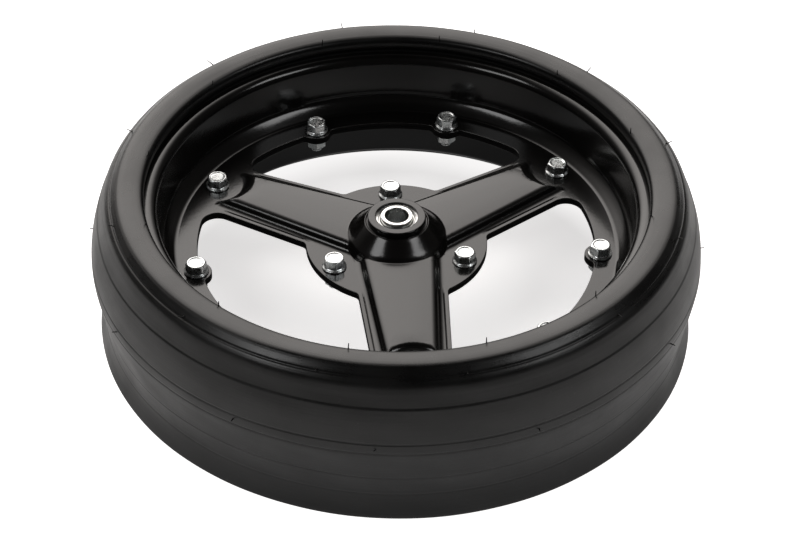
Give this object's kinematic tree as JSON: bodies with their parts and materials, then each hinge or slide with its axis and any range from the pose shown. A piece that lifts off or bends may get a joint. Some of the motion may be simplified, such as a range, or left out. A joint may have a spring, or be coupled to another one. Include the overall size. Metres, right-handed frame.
{
  "type": "gauge wheel",
  "caption": "Planter depth gauge wheel: hollow rubber tyre clamped between bolted, pressed steel halves with hollow spokes and large windows, on a sealed ball-bearing hub.",
  "frame": {"origin": "wheel centre, on the spin axis and half way across the tyre's width", "axes": "+Z along the spin axis, out of the side whose tyre edge is rounded; -Y along one spoke; the wheel lies flat"},
  "size_m": [0.4168, 0.4168, 0.1146],
  "materials": {
    "tyre": "satin moulded black rubber with fine mould lines",
    "black_paint": "glossy black powder coat",
    "zinc": "bright zinc plated steel",
    "bearing_steel": "ground bearing steel",
    "shield_steel": "pressed bright steel shield",
    "cage": "natural nylon"
  },
  "bodies": {
    "axle_core": {"upper_bearing_inner_ring": "bearing_steel", "lower_bearing_inner_ring": "bearing_steel", "spacer_sleeve": "zinc"},
    "wheel": {"wheel_half_upper": "black_paint", "wheel_half_lower": "black_paint", "tyre": "tyre", "rim_1_bolt": "zinc", "rim_1_nut": "zinc", "rim_2_bolt": "zinc", "rim_2_nut": "zinc", "rim_3_bolt": "zinc", "rim_3_nut": "zinc", "rim_4_bolt": "zinc", "rim_4_nut": "zinc", "rim_5_bolt": "zinc", "rim_5_nut": "zinc", "rim_6_bolt": "zinc", "rim_6_nut": "zinc", "rim_7_bolt": "zinc", "rim_7_nut": "zinc", "rim_8_bolt": "zinc", "rim_8_nut": "zinc", "rim_9_bolt": "zinc", "rim_9_nut": "zinc", "hub_1_bolt": "zinc", "hub_1_nut": "zinc", "hub_2_bolt": "zinc", "hub_2_nut": "zinc", "hub_3_bolt": "zinc", "hub_3_nut": "zinc", "upper_bearing_outer_ring": "bearing_steel", "upper_bearing_outside_shield": "shield_steel", "upper_bearing_inside_shield": "shield_steel", "lower_bearing_outer_ring": "bearing_steel", "lower_bearing_outside_shield": "shield_steel", "lower_bearing_inside_shield": "shield_steel"},
    "upper_cage": {"upper_bearing_cage": "cage", "upper_bearing_ball_1": "bearing_steel", "upper_bearing_ball_2": "bearing_steel", "upper_bearing_ball_3": "bearing_steel", "upper_bearing_ball_4": "bearing_steel", "upper_bearing_ball_5": "bearing_steel", "upper_bearing_ball_6": "bearing_steel", "upper_bearing_ball_7": "bearing_steel", "upper_bearing_ball_8": "bearing_steel"},
    "lower_cage": {"lower_bearing_cage": "cage", "lower_bearing_ball_1": "bearing_steel", "lower_bearing_ball_2": "bearing_steel", "lower_bearing_ball_3": "bearing_steel", "lower_bearing_ball_4": "bearing_steel", "lower_bearing_ball_5": "bearing_steel", "lower_bearing_ball_6": "bearing_steel", "lower_bearing_ball_7": "bearing_steel", "lower_bearing_ball_8": "bearing_steel"}
  },
  "joints": [
    {"name": "wheel_spin", "type": "hinge", "parent": "axle_core", "child": "wheel", "pos_m": [0, 0, 0.00175], "axis": [0, 0, 1], "continuous": true},
    {"name": "upper_cage_spin", "type": "hinge", "parent": "axle_core", "child": "upper_cage", "pos_m": [0, 0, 0.01775], "axis": [0, 0, 1], "continuous": true},
    {"name": "lower_cage_spin", "type": "hinge", "parent": "axle_core", "child": "lower_cage", "pos_m": [0, 0, -0.01425], "axis": [0, 0, 1], "continuous": true}
  ],
  "couplings": [
    {"joint": "upper_cage_spin", "follows": "wheel_spin", "ratio": 0.6142},
    {"joint": "lower_cage_spin", "follows": "wheel_spin", "ratio": 0.6142}
  ]
}
